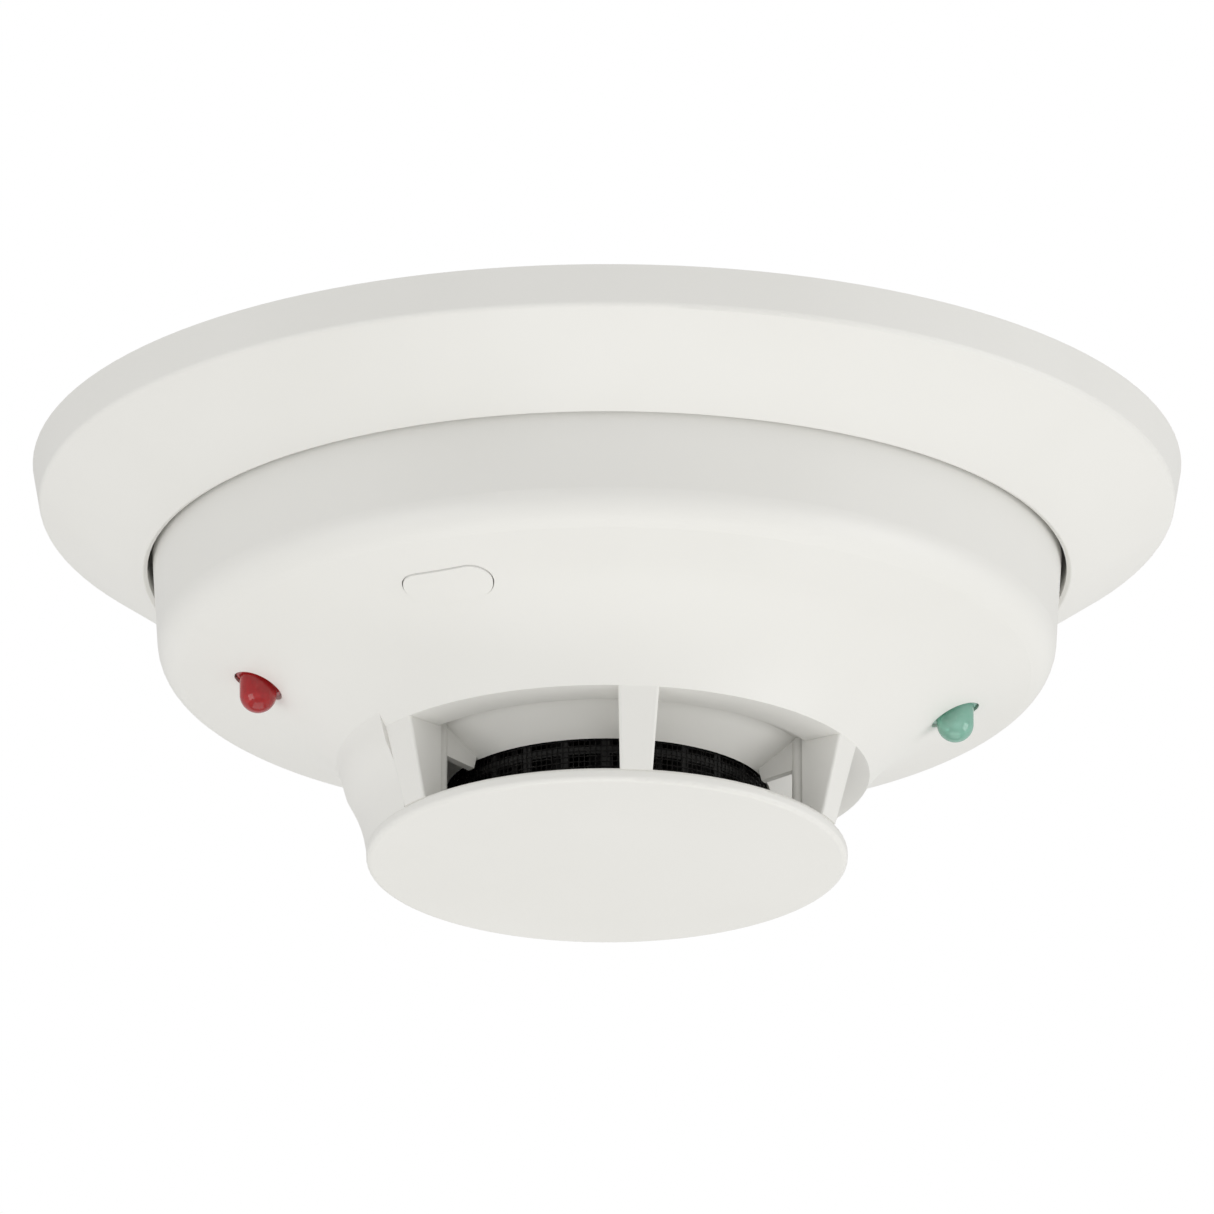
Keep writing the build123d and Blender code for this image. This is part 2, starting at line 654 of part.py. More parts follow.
with BuildPart() as cover:
    # wall that closes one bay, with two curved slots beside each of its ribs
    add(closing_wall.part)
    # six ribs carry the disc: outer face, pillar behind it and a vane in to the collar
    for angle in rib_angles:
        with BuildSketch(at(angle, 0).offset(rib_start)):
            rib_outline(rib_start, 5.8, 3.7)
        with BuildSketch(at(angle, 0).offset(rib_end)):
            rib_outline(rib_end, 4.6, 3.3)
        loft()
        with BuildSketch(level_plane(angle, pillar_distance, pillar_end)):
            Circle(pillar_radius)
            with Locations((pillar_radius, 0)):
                Rectangle(web_width, web_width)
        extrude(amount=pillar_start - pillar_end)
        with BuildSketch(radial_plane(angle)):
            with BuildLine():
                Polyline((22.3, -46.5), (27.7, -43.2), (27.7, -47.6), (22.8, -48.5), close=True)
            make_face()
        extrude(amount=0.6, both=True)
    # side, dome, hollow neck, lip and collar in one turned outline
    with BuildSketch(Plane.XZ) as cover_section:
        with BuildLine():
            Polyline((cover_top_radius, -cover_top_depth), cover_corner, neck_start)
            ThreePointArc(neck_start, neck_point(neck_radius, arc_start + neck_turn / 2), lip_outer)
            Polyline(
                lip_outer,
                (lip_inner_radius, lip_z),
                (lip_inner_radius, lip_z + lip_step),
                (collar_top_radius, lip_z + lip_step),
                (collar_mouth_radius + 0.3, collar_mouth_z),
                (collar_mouth_radius, collar_mouth_z + 0.2),
                (collar_mouth_radius, collar_mouth_z + collar_wall),
                (collar_top_radius - 0.8, floor_z),
                neck_point(inner_radius, inner_arc_end),
            )
            ThreePointArc(
                neck_point(inner_radius, inner_arc_end),
                neck_point(inner_radius, (arc_start + inner_arc_end) / 2),
                inner_neck_start,
            )
            Polyline(
                inner_neck_start,
                inner_corner,
                (cover_top_radius - shell, -cover_top_depth),
                (cover_top_radius, -cover_top_depth),
            )
        make_face()
        corners = cover_section.vertices()
        fillet(corners.sort_by_distance(cover_corner)[0], radius=cover_corner_radius)
        fillet(corners.sort_by_distance(inner_corner)[0], radius=cover_corner_radius - shell)
        fillet(corners.sort_by_distance(lip_outer)[0], radius=0.5)
        fillet(corners.sort_by_distance((cover_top_radius, -cover_top_depth))[0], radius=0.5)
    revolve(axis=Axis.Z)
    # bottom disc with rounded edges
    with BuildSketch(Plane.XZ) as disc_section:
        with Locations((disc_radius / 2, disc_top - disc_thickness / 2)):
            Rectangle(disc_radius, disc_thickness)
        rim = disc_section.vertices().group_by(Axis.X)[-1]
        fillet(rim, radius=0.7)
    revolve(axis=Axis.Z)
    # holes for the two LEDs and the test key, ribs that centre the cover on the head
    for angle in (0, 180):
        disc_between(led_hole_radius, -40, -28, at(angle, led_offset), Mode.SUBTRACT)
    with BuildSketch(level_plane(key_angle, key_radius, -38)):
        SlotOverall(key_length + 2 * key_gap, key_width + 2 * key_gap, rotation=90)
    extrude(amount=10, mode=Mode.SUBTRACT)
    for number in range(6):
        ring_segment(57.4, 59.8, -23.0, -14.2, 15 + number * 60, 3)
    # two posts with riveted heads hold the key's bridge
    for side in (-post_offset, post_offset):
        post_at = Plane(
            origin=level_plane(key_angle, key_radius, 0).from_local_coords((0, side, 0)),
            z_dir=(0, 0, 1),
        )
        disc_between(1.7, -31.4, bridge_bottom, post_at)
        disc_between(0.8, bridge_bottom - 0.1, bridge_top + 0.1, post_at)
        disc_between(1.4, bridge_top, bridge_top + 0.5, post_at)
save(cover.part, "cover")

# Bridge over the test key: it guides the stem and backs the spring.
stem_radius = 1.3
with BuildPart() as key_bridge:
    with BuildSketch(level_plane(key_angle, key_radius, bridge_bottom)):
        SlotOverall(2 * post_offset + 4.6, 4.6, rotation=90)
        Circle(stem_radius + 0.2, mode=Mode.SUBTRACT)
        with Locations((0, post_offset), (0, -post_offset)):
            Circle(0.85, mode=Mode.SUBTRACT)
    extrude(amount=bridge_top - bridge_bottom)
save(key_bridge.part, "key_bridge")

# Test key: its face follows the dome, a flange inside keeps it in, a stem reaches the switch.
flange_top = -29.6
with BuildPart() as test_key:
    with BuildSketch(Plane.XZ):
        dome_band(-0.15, shell + 0.6)
    revolve(axis=Axis.Z)
    with BuildSketch(level_plane(key_angle, key_radius, -38)):
        SlotOverall(key_length, key_width, rotation=90)
    extrude(amount=12, mode=Mode.INTERSECT)
    with BuildPart(mode=Mode.PRIVATE) as key_flange:
        with BuildSketch(Plane.XZ):
            dome_band(shell + 0.2, shell + 1.0)
        revolve(axis=Axis.Z)
        with BuildSketch(level_plane(key_angle, key_radius, -38)):
            SlotOverall(key_length + 2 * key_flange_lap, key_width + 2.0, rotation=90)
        extrude(amount=12, mode=Mode.INTERSECT)
    add(key_flange.part)
    # a boss with a round pocket seats the spring
    disc_between(2.8, -31.6, flange_top, at(key_angle, key_radius))
    disc_between(2.6, flange_top, flange_top + 3, at(key_angle, key_radius), Mode.SUBTRACT)
    disc_between(stem_radius, flange_top - 0.1, plunger_tip - 0.1, at(key_angle, key_radius))
save(test_key.part, "test_key")

spring_wire = 0.18
spring_length = bridge_bottom - flange_top
with BuildPart() as key_spring:
    spring_at = level_plane(key_angle, key_radius, flange_top + spring_wire)
    with BuildLine(spring_at):
        coil = Helix(pitch=0.56, height=spring_length - 2 * spring_wire, radius=2.1)
    with BuildSketch(Plane(origin=coil @ 0, z_dir=coil % 0)):
        Circle(spring_wire)
    sweep()
save(key_spring.part, "key_spring")
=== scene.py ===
from math import asin, cos, hypot, pi, radians, sin, tan

import bpy
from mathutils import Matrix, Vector


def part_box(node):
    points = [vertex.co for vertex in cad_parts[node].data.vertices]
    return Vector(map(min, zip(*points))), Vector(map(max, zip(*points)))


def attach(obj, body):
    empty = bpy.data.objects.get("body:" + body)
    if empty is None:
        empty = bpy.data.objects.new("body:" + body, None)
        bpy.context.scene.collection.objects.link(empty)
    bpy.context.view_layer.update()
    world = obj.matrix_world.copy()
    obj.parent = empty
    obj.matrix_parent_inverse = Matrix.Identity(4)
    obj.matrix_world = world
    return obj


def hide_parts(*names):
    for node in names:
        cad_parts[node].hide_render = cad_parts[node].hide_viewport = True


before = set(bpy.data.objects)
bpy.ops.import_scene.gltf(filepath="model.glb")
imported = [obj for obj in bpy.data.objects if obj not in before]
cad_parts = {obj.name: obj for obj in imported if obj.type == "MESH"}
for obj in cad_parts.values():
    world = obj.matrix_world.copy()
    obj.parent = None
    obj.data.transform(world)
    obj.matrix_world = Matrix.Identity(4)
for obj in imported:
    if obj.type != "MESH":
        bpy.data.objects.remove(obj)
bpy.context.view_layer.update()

# ------------------------------------------------------------------ studio
# White cove and soft light, mostly from below, as for a catalogue picture of a ceiling fitting.
# The camera stands well back with a long lens, a little to the left, and looks up at the face.
MM = 0.001
scene = bpy.context.scene
scene.view_settings.view_transform = "Standard"

camera_azimuth, camera_elevation = radians(-7), radians(-20.2)
camera_target = Vector((0, 0, -20.2)) * MM
camera_distance = 6.0
camera_data = bpy.data.cameras.new("camera")
camera_data.sensor_width = 36
camera_data.lens = 1320
camera_data.clip_end = 50
camera = bpy.data.objects.new("camera", camera_data)
camera.location = camera_target + camera_distance * Vector(
    (
        sin(camera_azimuth) * cos(camera_elevation),
        -cos(camera_azimuth) * cos(camera_elevation),
        sin(camera_elevation),
    )
)
camera.rotation_euler = (camera_target - camera.location).to_track_quat("-Z", "Y").to_euler()
scene.collection.objects.link(camera)
scene.camera = camera


def linear(code):
    """An sRGB hex colour as linear red, green, blue and alpha."""
    parts = [int(code[i : i + 2], 16) / 255 for i in (0, 2, 4)]
    return [c / 12.92 if c <= 0.04045 else ((c + 0.055) / 1.055) ** 2.4 for c in parts] + [1]


def add_node(tree, kind, inputs=None, **settings):
    """Adds a shader node with its settings, and its inputs as values or as sockets to link."""
    added = tree.nodes.new("ShaderNode" + kind)
    for name, value in settings.items():
        setattr(added, name, value)
    for name, value in (inputs or {}).items():
        if isinstance(value, bpy.types.NodeSocket):
            tree.links.new(value, added.inputs[name])
        else:
            added.inputs[name].default_value = value
    return added


# The cove itself looks plain white; its light is softer, and a little stronger from below.
world = bpy.data.worlds.new("cove")
world.use_nodes = True
scene.world = world
sky = world.node_tree
towards = add_node(sky, "SeparateXYZ", {0: add_node(sky, "TexCoord").outputs["Generated"]})
level = add_node(sky, "Math", {0: towards.outputs["Z"], 1: -0.26, 2: 0.69}, operation="MULTIPLY_ADD")
seen = add_node(sky, "LightPath").outputs["Is Camera Ray"]
level = add_node(sky, "Mix", {0: seen, 2: level.outputs[0], 3: 1.0})
sky.nodes["Background"].inputs["Color"].default_value = linear("FFFFFF")
sky.links.new(level.outputs[0], sky.nodes["Background"].inputs["Strength"])

for name, place, size, power in (
    ("box_left", (-1.2, -0.7, -0.7), 0.9, 4.8),
    ("box_right", (1.25, -0.5, -0.5), 0.9, 6.4),
    ("box_below", (0.0, 0.1, -1.1), 1.0, 3.0),
):
    softbox = bpy.data.lights.new(name, "AREA")
    softbox.shape = "SQUARE"
    softbox.size = size
    softbox.energy = power
    lamp = bpy.data.objects.new(name, softbox)
    lamp.location = place
    lamp.rotation_euler = (camera_target - lamp.location).to_track_quat("-Z", "Y").to_euler()
    lamp.visible_camera = False
    scene.collection.objects.link(lamp)


def start_material(name):
    """A new material: its node tree, its Principled shader and the object coordinates in metres."""
    made = bpy.data.materials.new(name)
    made.use_nodes = True
    tree = made.node_tree
    return made, tree, tree.nodes["Principled BSDF"], add_node(tree, "TexCoord").outputs["Object"]


def add_piece(name, points, faces, finish, body=None, crease=40):
    """A mesh object in metres from points in millimetres, smooth but for edges over the crease."""
    mesh = bpy.data.meshes.new(name)
    mesh.from_pydata([tuple(c * MM for c in p) for p in points], [], faces)
    mesh.materials.append(finish)
    mesh.polygons.foreach_set("use_smooth", [True] * len(mesh.polygons))
    mesh.set_sharp_from_angle(angle=radians(crease))
    made = bpy.data.objects.new(name, mesh)
    scene.collection.objects.link(made)
    if body:
        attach(made, body)
    return made


# The floor is matt background paper, pale and slightly mottled, far below the ceiling. Seen from
# its underside it is clear, so that a camera under it can look up at the detector.
paper, tree, surface, place = start_material("background_paper")
fibres = add_node(tree, "TexNoise", {"Vector": place, "Scale": 1 / 0.004, "Detail": 3})
tint = add_node(
    tree, "Mix", {0: fibres.outputs["Fac"], 6: linear("F1F0ED"), 7: linear("E6E5E1")}, data_type="RGBA"
)
tree.links.new(tint.outputs[2], surface.inputs["Base Color"])
surface.inputs["Roughness"].default_value = 0.9
underside = add_node(tree, "NewGeometry").outputs["Backfacing"]
clear = add_node(tree, "BsdfTransparent").outputs[0]
sided = add_node(tree, "MixShader", {0: underside, 1: surface.outputs[0], 2: clear})
tree.links.new(sided.outputs[0], tree.nodes["Material Output"].inputs["Surface"])
floor_radius, floor_height, floor_sides = 1500, -1250, 96
turns = [2 * pi * i / floor_sides for i in range(floor_sides)]
rim = [(floor_radius * cos(turn), floor_radius * sin(turn), floor_height) for turn in turns]
floor = add_piece("floor", rim, [tuple(range(floor_sides))], paper)

# ------------------------------------------------------------------ mounting base
# One injection moulding in off-white ABS: flange, well and ribbed back, screwed to the box.
# Its mould was spark-eroded, so it is satin, with a very fine grain and no sharp glints.
abs_white, tree, surface, place = start_material("moulded_white_abs")
drift = add_node(tree, "TexNoise", {"Vector": place, "Scale": 1 / 0.035, "Detail": 2})
tint = add_node(
    tree, "Mix", {0: drift.outputs["Fac"], 6: linear("EAE9E5"), 7: linear("E3E2DD")}, data_type="RGBA"
)
tree.links.new(tint.outputs[2], surface.inputs["Base Color"])
# The real grain is about 0.1 mm; it is drawn at 0.45 mm so that it shows.
grain = add_node(tree, "TexNoise", {"Vector": place, "Scale": 1 / 0.00045, "Detail": 2, "Roughness": 0.6})
sheen = add_node(tree, "MapRange", {"Value": grain.outputs["Fac"], "To Min": 0.40, "To Max": 0.54})
tree.links.new(sheen.outputs[0], surface.inputs["Roughness"])
relief = add_node(
    tree, "Bump", {"Height": grain.outputs["Fac"], "Strength": 0.22, "Distance": 0.00003}
)
tree.links.new(relief.outputs[0], surface.inputs["Normal"])
surface.inputs["IOR"].default_value = 1.54


def dress(finish, *nodes):
    """Gives CAD nodes their material."""
    for name in nodes:
        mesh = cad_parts[name].data
        mesh.materials.clear()
        mesh.materials.append(finish)


dress(abs_white, "mounting_base")

# ------------------------------------------------------------------ terminals
# Brass strips with jaws for the head's blades, stamped and then tinned: pale, warm, half bright.
tinned_brass, tree, surface, place = start_material("tinned_brass")
bloom = add_node(tree, "TexNoise", {"Vector": place, "Scale": 1 / 0.0022, "Detail": 4})
tint = add_node(
    tree, "Mix", {0: bloom.outputs["Fac"], 6: linear("D9D2BE"), 7: linear("B9AF96")}, data_type="RGBA"
)
tree.links.new(tint.outputs[2], surface.inputs["Base Color"])
sheen = add_node(tree, "MapRange", {"Value": bloom.outputs["Fac"], "To Min": 0.22, "To Max": 0.42})
tree.links.new(sheen.outputs[0], surface.inputs["Roughness"])
surface.inputs["Metallic"].default_value = 1.0
dress(tinned_brass, *(f"terminal_contact_{n}" for n in (1, 2, 3, 4)), "contact_blades", "led_leads")

# Steel screws and square clamp washers, zinc plated: cool grey with a faint blue to yellow tint.
zinc_plate, tree, surface, place = start_material("zinc_plated_steel")
tarnish = add_node(tree, "TexNoise", {"Vector": place, "Scale": 1 / 0.0015, "Detail": 3})
tint = add_node(
    tree, "Mix", {0: tarnish.outputs["Fac"], 6: linear("C3C9D0"), 7: linear("CFCBBB")}, data_type="RGBA"
)
tree.links.new(tint.outputs[2], surface.inputs["Base Color"])
scratches = add_node(
    tree, "TexNoise", {"Vector": place, "Scale": 1 / 0.0002, "Detail": 2, "Distortion": 1.5}
)
relief = add_node(
    tree, "Bump", {"Height": scratches.outputs["Fac"], "Strength": 0.2, "Distance": 0.00001}
)
tree.links.new(relief.outputs[0], surface.inputs["Normal"])
surface.inputs["Metallic"].default_value = 1.0
surface.inputs["Roughness"].default_value = 0.3
dress(zinc_plate, "clamp_washers", "terminal_screws", "board_screws")

# ------------------------------------------------------------------ head
# Shallow tray in the same ABS as the base; the circuit board is screwed into it from below.
dress(abs_white, "back_housing")

# ------------------------------------------------------------------ circuit board
# Glass epoxy laminate under glossy green solder mask, with the glass weave just visible.
weave_pitch = 0.5 * MM
solder_mask, tree, surface, place = start_material("green_solder_mask")
weave = []
for across in ((1, 0, 0), (0, 1, 0)):
    along = add_node(tree, "VectorMath", {0: place, 1: across}, operation="DOT_PRODUCT")
    wave = add_node(tree, "Math", {0: along.outputs["Value"], 1: 2 * pi / weave_pitch}, operation="MULTIPLY")
    weave.append(add_node(tree, "Math", {0: wave.outputs[0]}, operation="SINE").outputs[0])
cross = add_node(tree, "Math", {0: weave[0], 1: weave[1]}, operation="MULTIPLY")
shade = add_node(tree, "MapRange", {"Value": cross.outputs[0], "From Min": -1.0})
tint = add_node(
    tree, "Mix", {0: shade.outputs[0], 6: linear("17552F"), 7: linear("1B6238")}, data_type="RGBA"
)
tree.links.new(tint.outputs[2], surface.inputs["Base Color"])
relief = add_node(tree, "Bump", {"Height": cross.outputs[0], "Strength": 0.1, "Distance": 0.00002})
tree.links.new(relief.outputs[0], surface.inputs["Normal"])
surface.inputs["Roughness"].default_value = 0.22
dress(solder_mask, "circuit_board")

# Copper tracks under the mask, 35 microns thick and 0.5 mm wide: they stand up and look paler.
masked_copper, tree, surface, place = start_material("copper_under_solder_mask")
mottle = add_node(tree, "TexNoise", {"Vector": place, "Scale": 1 / 0.003, "Detail": 2})
tint = add_node(
    tree, "Mix", {0: mottle.outputs["Fac"], 6: linear("2C7F49"), 7: linear("358A4F")}, data_type="RGBA"
)
tree.links.new(tint.outputs[2], surface.inputs["Base Color"])
surface.inputs["Roughness"].default_value = 0.25
board_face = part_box("circuit_board")[0].z / MM


def around(radius, start, end, step=4):
    """Points on an arc about the detector's axis, angles in degrees."""
    count = max(1, round(abs(end - start) / step))
    turns = [radians(start + (end - start) * i / count) for i in range(count + 1)]
    return [(radius * cos(t), radius * sin(t)) for t in turns]


def ribbons(routes, width, low, high):
    """Flat strips between two heights along routes of points in millimetres, mitred at bends."""
    points, faces = [], []
    for route in routes:
        line = [Vector(p) for p in route]
        first = len(points)
        for i, spot in enumerate(line):
            before = (spot - line[i - 1]).normalized() if i else None
            after = (line[i + 1] - spot).normalized() if i + 1 < len(line) else None
            run = ((before or after) + (after or before)).normalized()
            side = Vector((-run.y, run.x)) * width / 2 / max(0.5, run.dot(before or after))
            for offset, z in ((side, low), (-side, low), (-side, high), (side, high)):
                points.append((spot.x + offset.x, spot.y + offset.y, z))
        for i in range(len(line) - 1):
            a = first + 4 * i
            faces += [(a + k, a + 4 + k, a + 4 + (k + 1) % 4, a + (k + 1) % 4) for k in range(4)]
        last = first + 4 * (len(line) - 1)
        faces += [(first, first + 1, first + 2, first + 3), (last + 3, last + 2, last + 1, last)]
    return points, faces


chip_x, leg_pitch = 4.0, 1.27
leg_x = [chip_x + (i - 3.5) * leg_pitch for i in range(8)]
# Arcs of resistors: radius, first angle, step and count.
resistor_arcs = ((28.5, 196, 12, 6), (33.0, 8, 14, 4), (30.0, 100, 13, 6))
track_routes = []
for i, x in enumerate(leg_x[:4]):
    lane = 25.6 + 0.9 * i
    track_routes.append([(x, -35.6), (x, -33.6 + 0.5 * i)] + around(lane + 4.5, 268 - 2 * i, 190 - 8 * i))
for i, x in enumerate(leg_x[4:]):
    lane = 32.6 - 0.9 * i
    track_routes.append([(x, -35.6), (x, -34.6 + 0.6 * i)] + around(lane, 281 + 2 * i, 352 + 6 * i))
for i, x in enumerate(leg_x):
    lane = 44.0 + 0.95 * i
    if i < 4:
        track_routes.append([(x, -40.4), (x, -42.0)] + around(lane, 268 - i, 247 - 3 * i))
    else:
        track_routes.append([(x, -40.4), (x, -42.0)] + around(lane, 278 + i, 322 + 5 * i))
for arc in ((36.5, 12, 78), (37.6, 8, 84), (35.2, 100, 172), (52.0, 100, 172), (51.0, 12, 80)):
    track_routes.append(around(*arc))
for (radius, first, step, _), stubs in zip(resistor_arcs, (3, 3, 4)):
    for number in range(stubs):
        turn = radians(first + number * step)
        out = Vector((cos(turn), sin(turn)))
        track_routes.append([out * (radius + 1.2), out * (radius + 4.2)])
track_width, track_height, bury = 0.5, 0.04, 0.01
strips = ribbons(track_routes, track_width, board_face - track_height, board_face + bury)
tracks = add_piece("board_tracks", *strips, masked_copper, "head")

# Epoxy ink outlines round the parts, screen printed in white, with no lettering.
legend_ink, tree, surface, place = start_material("white_legend_ink")
print_grain = add_node(tree, "TexNoise", {"Vector": place, "Scale": 1 / 0.0003, "Detail": 2})
tint = add_node(
    tree, "Mix", {0: print_grain.outputs["Fac"], 6: linear("EDEDE6"), 7: linear("C9D1C4")}, data_type="RGBA"
)
tree.links.new(tint.outputs[2], surface.inputs["Base Color"])
surface.inputs["Roughness"].default_value = 0.5
led_offset, key_radius, key_turn = 47.3, 48.5, radians(237)
led_outline = [(led_offset + x, y) for x, y in around(3.6, 0, 360, 12)]
outlines = [led_outline, around(24.0, 0, 360, 4), [(-x, y) for x, y in led_outline]]
switch_x, switch_y = key_radius * cos(key_turn), key_radius * sin(key_turn)
outlines.append([(switch_x + x, switch_y + y) for x, y in around(4.9, 0, 360, 12)])
outlines.append([(-2.2, -34.3), (10.2, -34.3), (10.2, -41.7), (-2.2, -41.7), (-2.2, -34.3)])
for radius, first, step, count in resistor_arcs:
    for number in range(count):
        turn = radians(first + number * step)
        out, side = Vector((cos(turn), sin(turn))), Vector((-sin(turn), cos(turn)))
        corners = [(-1.6, -1.0), (1.6, -1.0), (1.6, 1.0), (-1.6, 1.0), (-1.6, -1.0)]
        outlines.append([out * (radius + u) + side * v for u, v in corners])
ink_width, ink_height = 0.16, 0.055
strips = ribbons(outlines, ink_width, board_face - ink_height, board_face + bury)
legend = add_piece("board_legend", *strips, legend_ink, "head")


def turned(profile, centre=(0, 0, 0), sides=32):
    """Points and faces of a turned shape: its profile is (radius, height) from top to bottom."""
    points, faces = [], []
    for radius, height in profile:
        for i in range(sides):
            turn = 2 * pi * i / sides
            points.append(
                (centre[0] + radius * cos(turn), centre[1] + radius * sin(turn), centre[2] + height)
            )
    for ring in range(len(profile) - 1):
        for i in range(sides):
            a, b = ring * sides + i, ring * sides + (i + 1) % sides
            faces.append((a, a + sides, b + sides, b))
    faces.append(tuple(range(sides)))
    faces.append(tuple(reversed(range(len(points) - sides, len(points)))))
    return points, faces


def joined(*shapes):
    """Several (points, faces) shapes as one."""
    points, faces = [], []
    for some_points, some_faces in shapes:
        start = len(points)
        points += some_points
        faces += [tuple(start + i for i in face) for face in some_faces]
    return points, faces


# Tin solder wetted up the pins of the relay, the capacitors and the blades: bright hollow cones.
solder, tree, surface, place = start_material("tin_solder")
skin = add_node(tree, "TexNoise", {"Vector": place, "Scale": 1 / 0.0006, "Detail": 3})
tint = add_node(
    tree, "Mix", {0: skin.outputs["Fac"], 6: linear("C9CCCE"), 7: linear("A8ABAD")}, data_type="RGBA"
)
tree.links.new(tint.outputs[2], surface.inputs["Base Color"])
sheen = add_node(tree, "MapRange", {"Value": skin.outputs["Fac"], "To Min": 0.18, "To Max": 0.36})
tree.links.new(sheen.outputs[0], surface.inputs["Roughness"])
surface.inputs["Metallic"].default_value = 1.0
cone = [(0.95, 0.01), (0.95, -0.05), (0.62, -0.22), (0.42, -0.5), (0.32, -0.85), (0.3, -1.05), (0.12, -1.12)]
pins = [(x, y) for x in (-5.4, 5.4) for y in (26.5, 31.0)]
for angle in (45, 135):
    out = Vector((cos(radians(angle)), sin(radians(angle))))
    side = Vector((-out.y, out.x))
    pins += [tuple(out * 27 + side * s) for s in (-1.25, 1.25)]
for angle in (45, 135, 225, 315):
    pins += around(40, angle - 1.0, angle + 1.0, 1)
joints = add_piece(
    "solder_joints", *joined(*(turned(cone, (x, y, board_face), 16) for x, y in pins)), solder, "head"
)

# ------------------------------------------------------------------ small parts on the board
# Black moulded epoxy packages and switch, satin, with a fine sandy grain.
black_moulding, tree, surface, place = start_material("black_moulded_plastic")
grain = add_node(tree, "TexNoise", {"Vector": place, "Scale": 1 / 0.0004, "Detail": 2})
tint = add_node(
    tree, "Mix", {0: grain.outputs["Fac"], 6: linear("161512"), 7: linear("211F1C")}, data_type="RGBA"
)
tree.links.new(tint.outputs[2], surface.inputs["Base Color"])
sheen = add_node(tree, "MapRange", {"Value": grain.outputs["Fac"], "To Min": 0.42, "To Max": 0.6})
tree.links.new(sheen.outputs[0], surface.inputs["Roughness"])
relief = add_node(tree, "Bump", {"Height": grain.outputs["Fac"], "Strength": 0.3, "Distance": 0.00003})
tree.links.new(relief.outputs[0], surface.inputs["Normal"])
dress(black_moulding, "microcontroller", "test_switch", "switch_plunger", "led_spacers", "chip_resistors")

# Legs of the chip and end caps of the resistors are tinned.
dress(solder, "chip_leads")
caps = []
cap_height = 0.66
cap_corners = ((0.62, -0.68), (1.3, -0.68), (1.3, 0.68), (0.62, 0.68))
for radius, first, step, count in resistor_arcs:
    for number in range(count):
        turn = radians(first + number * step)
        out, side = Vector((cos(turn), sin(turn))), Vector((-sin(turn), cos(turn)))
        for end in (-1, 1):
            corners = [out * (radius + end * u) + side * end * v for u, v in cap_corners]
            box = [(c.x, c.y, board_face + z) for z in (bury, -cap_height) for c in corners]
            sides = [(k, 4 + k, 4 + (k + 1) % 4, (k + 1) % 4) for k in range(4)]
            caps.append((box, [(0, 1, 2, 3), (7, 6, 5, 4)] + sides))
end_caps = add_piece("resistor_end_caps", *joined(*caps), solder, "head")

# Relay in an orange polyester case, glossy from a polished mould.
relay_case, tree, surface, place = start_material("orange_polyester_case")
flow = add_node(tree, "TexNoise", {"Vector": place, "Scale": 1 / 0.005, "Detail": 2})
tint = add_node(
    tree, "Mix", {0: flow.outputs["Fac"], 6: linear("E08A2A"), 7: linear("D67E22")}, data_type="RGBA"
)
tree.links.new(tint.outputs[2], surface.inputs["Base Color"])
surface.inputs["Roughness"].default_value = 0.3
dress(relay_case, "relay")

# Electrolytic capacitors in bare drawn aluminium cans, with fine drawing lines round them.
drawn_can, tree, surface, place = start_material("drawn_aluminium")
stretched = add_node(tree, "Mapping", {"Vector": place, "Scale": (1 / 0.004, 1 / 0.004, 1 / 0.0002)})
lines = add_node(tree, "TexNoise", {"Vector": stretched.outputs[0], "Scale": 1.0, "Detail": 3})
tint = add_node(
    tree, "Mix", {0: lines.outputs["Fac"], 6: linear("D2D4D6"), 7: linear("B4B7BA")}, data_type="RGBA"
)
tree.links.new(tint.outputs[2], surface.inputs["Base Color"])
relief = add_node(tree, "Bump", {"Height": lines.outputs["Fac"], "Strength": 0.2, "Distance": 0.00002})
tree.links.new(relief.outputs[0], surface.inputs["Normal"])
surface.inputs["Metallic"].default_value = 1.0
surface.inputs["Roughness"].default_value = 0.34
dress(drawn_can, "capacitors")

# ------------------------------------------------------------------ alarm and power LEDs
# 5 mm LEDs cast in dyed epoxy, red at the left and green at the right, standing in their holes.
# The cast lens is glossy and see-through, so the cup and post inside shine through it. A collar
# round it follows the dome and fills the hole.
led_tip, led_radius, lens_sides = -37.4, 2.5, 48
cone_edge, neck_radius, dome_slope = (49.7, -32.5), 26.5, radians(19)


def dome_height(reach):
    """Height of the cover's face at a distance from the axis: a cone, then the hollow neck."""
    turn = asin(sin(dome_slope) + max(0, cone_edge[0] - reach) / neck_radius)
    drop = neck_radius * (cos(dome_slope) - cos(turn))
    return cone_edge[1] - drop + max(0, reach - cone_edge[0]) * tan(dome_slope)


# Rings of the lens from top to bottom: radius, height, and whether that is above the dome's face.
lens_rings = [(2.84, 8.7, False), (2.9, 8.64, False), (2.9, 7.76, False), (2.84, 7.7, False)]
lens_rings += [(2.5, 7.64, False), (2.5, 2.46, True), (2.94, 2.4, True), (3.0, 2.34, True)]
lens_rings += [(3.0, 0.39, True), (2.94, 0.33, True), (2.56, 0.33, True), (2.5, 0.27, True)]
lens_rings += [(2.5, 2.5, False)]
for angle in range(8, 87, 6):
    turn = radians(angle)
    lens_rings.append((led_radius * cos(turn), led_radius * (1 - sin(turn)), False))
lens_rings.append((0.06, 0.0, False))
cup_profile = [(0.45, 8.6), (0.45, 3.6), (0.5, 3.4), (1.25, 3.1), (1.3, 2.3), (1.12, 2.3), (0.6, 2.8)]
cup_profile += [(0.1, 2.85)]
post_profile = [(0.35, 8.6), (0.35, 2.5), (0.2, 2.4)]
frame_shape = joined(turned(cup_profile, sides=24), turned(post_profile, (1.75, 0, 0), 12))
